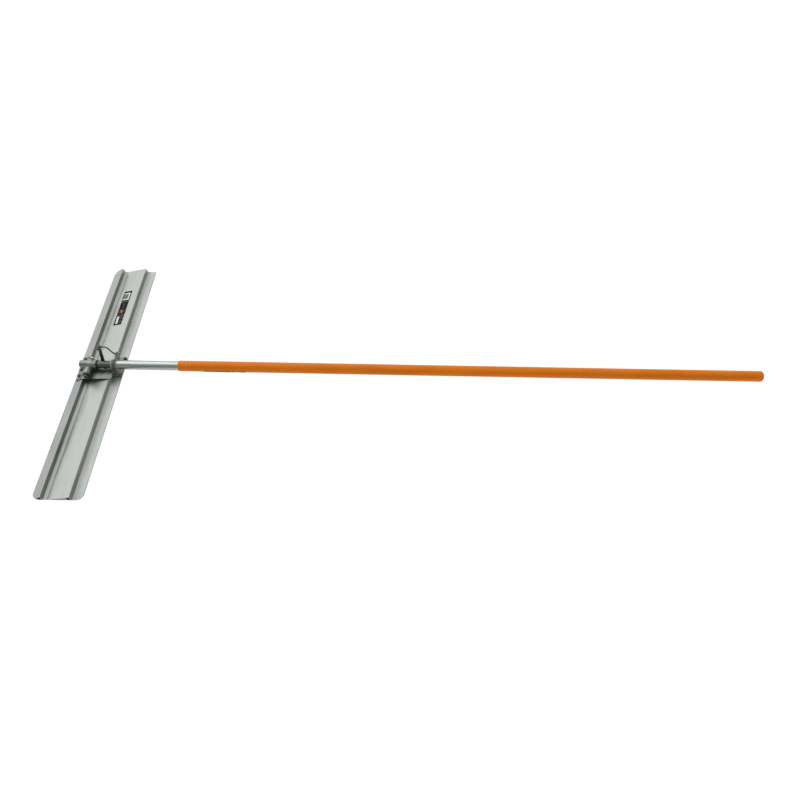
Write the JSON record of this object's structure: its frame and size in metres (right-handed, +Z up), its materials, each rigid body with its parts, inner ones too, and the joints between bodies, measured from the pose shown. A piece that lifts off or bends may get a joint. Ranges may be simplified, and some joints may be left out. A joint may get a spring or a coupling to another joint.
{
  "type": "bull float",
  "caption": "Bull float: long flat-soled ridged aluminium blade, twist-to-tilt pivot bracket with crank and link, and a long orange push pole on a zinc tube.",
  "frame": {"origin": "middle of the blade's flat sole, on the surface the float rests on", "axes": "+X from the blade towards the far end of the pole, +Y along the blade, +Z up"},
  "size_m": [2.9033, 1.219, 0.1274],
  "materials": {
    "milled_aluminium": "mill-finish aluminium extrusion, satin, fine lines along its length",
    "cast_aluminium": "sand-textured cast aluminium, matte grey",
    "zinc_plate": "bright zinc-plated steel",
    "dark_steel": "oiled dark steel",
    "bracket_plate": "pressed steel plate, dull grey",
    "black_rubber": "black nylon or rubber",
    "bronze": "oil-filled bronze",
    "orange_paint": "glossy orange powder coat on an aluminium tube",
    "orange_plastic": "glossy orange plastic",
    "button_brass": "plain brass",
    "plug_plastic": "light grey moulded plastic",
    "label_vinyl": "black printed vinyl"
  },
  "bodies": {
    "blade": {"blade": "milled_aluminium", "flange_plug_near": "plug_plastic", "flange_plug_far": "plug_plastic", "panel_plug_near": "plug_plastic", "panel_plug_far": "plug_plastic", "blade_label": "label_vinyl", "saddle_plate": "bracket_plate", "saddle_screw_left_1": "zinc_plate", "saddle_screw_left_2": "zinc_plate", "saddle_screw_left_3": "zinc_plate", "saddle_screw_right_1": "zinc_plate", "saddle_screw_right_2": "black_rubber", "hinge_ear_near": "dark_steel", "hinge_ear_far": "dark_steel", "hinge_bolt": "dark_steel", "hinge_nut": "zinc_plate", "hinge_washer_near": "black_rubber", "hinge_washer_far": "zinc_plate", "link_post": "dark_steel", "post_screw": "zinc_plate", "post_pin": "dark_steel", "post_pin_spacer": "dark_steel", "post_pin_clip": "zinc_plate"},
    "housing": {"pivot_housing": "cast_aluminium", "hinge_bush_near": "bronze", "hinge_bush_far": "bronze", "shaft_bush": "black_rubber", "shaft_retaining_screw": "dark_steel"},
    "handle": {"drive_shaft": "dark_steel", "shaft_stop_pin": "black_rubber", "collar_inner": "cast_aluminium", "collar_outer": "cast_aluminium", "crank_arm": "dark_steel", "zinc_tube": "zinc_plate", "push_pole": "orange_paint", "pole_end_cap": "orange_plastic", "pole_label": "label_vinyl", "button_spring": "zinc_plate", "spring_carrier": "zinc_plate"},
    "link": {"link_rod": "dark_steel", "hitch_clip": "zinc_plate"},
    "button": {"snap_button": "button_brass"}
  },
  "joints": [
    {"name": "blade_pitch", "type": "hinge", "parent": "blade", "child": "housing", "pos_m": [-0.032, 0, 0.048], "axis": [0, -1, 0], "range_deg": [-1.6, 14.5]},
    {"name": "handle_twist", "type": "hinge", "parent": "housing", "child": "handle", "pos_m": [0, 0, 0.057], "axis": [-0.9999, 0, 0.0122], "range_deg": [-4.1, 36.8]},
    {"name": "link_swing", "type": "hinge", "parent": "blade", "child": "link", "pos_m": [0.023, 0.0454, 0.12], "axis": [0, 1, 0], "range_deg": [-0.3, 2.1]},
    {"name": "button_press", "type": "slide", "parent": "handle", "child": "button", "axis": [-0.01, 0.5736, -0.8191], "range_m": [0, 0.0052], "stiffness_N_per_m": 600, "springref_m": -0.002}
  ],
  "couplings": [
    {"joint": "handle_twist", "follows": "blade_pitch", "ratio": 2.53},
    {"joint": "link_swing", "follows": "blade_pitch", "ratio": 0.14}
  ]
}
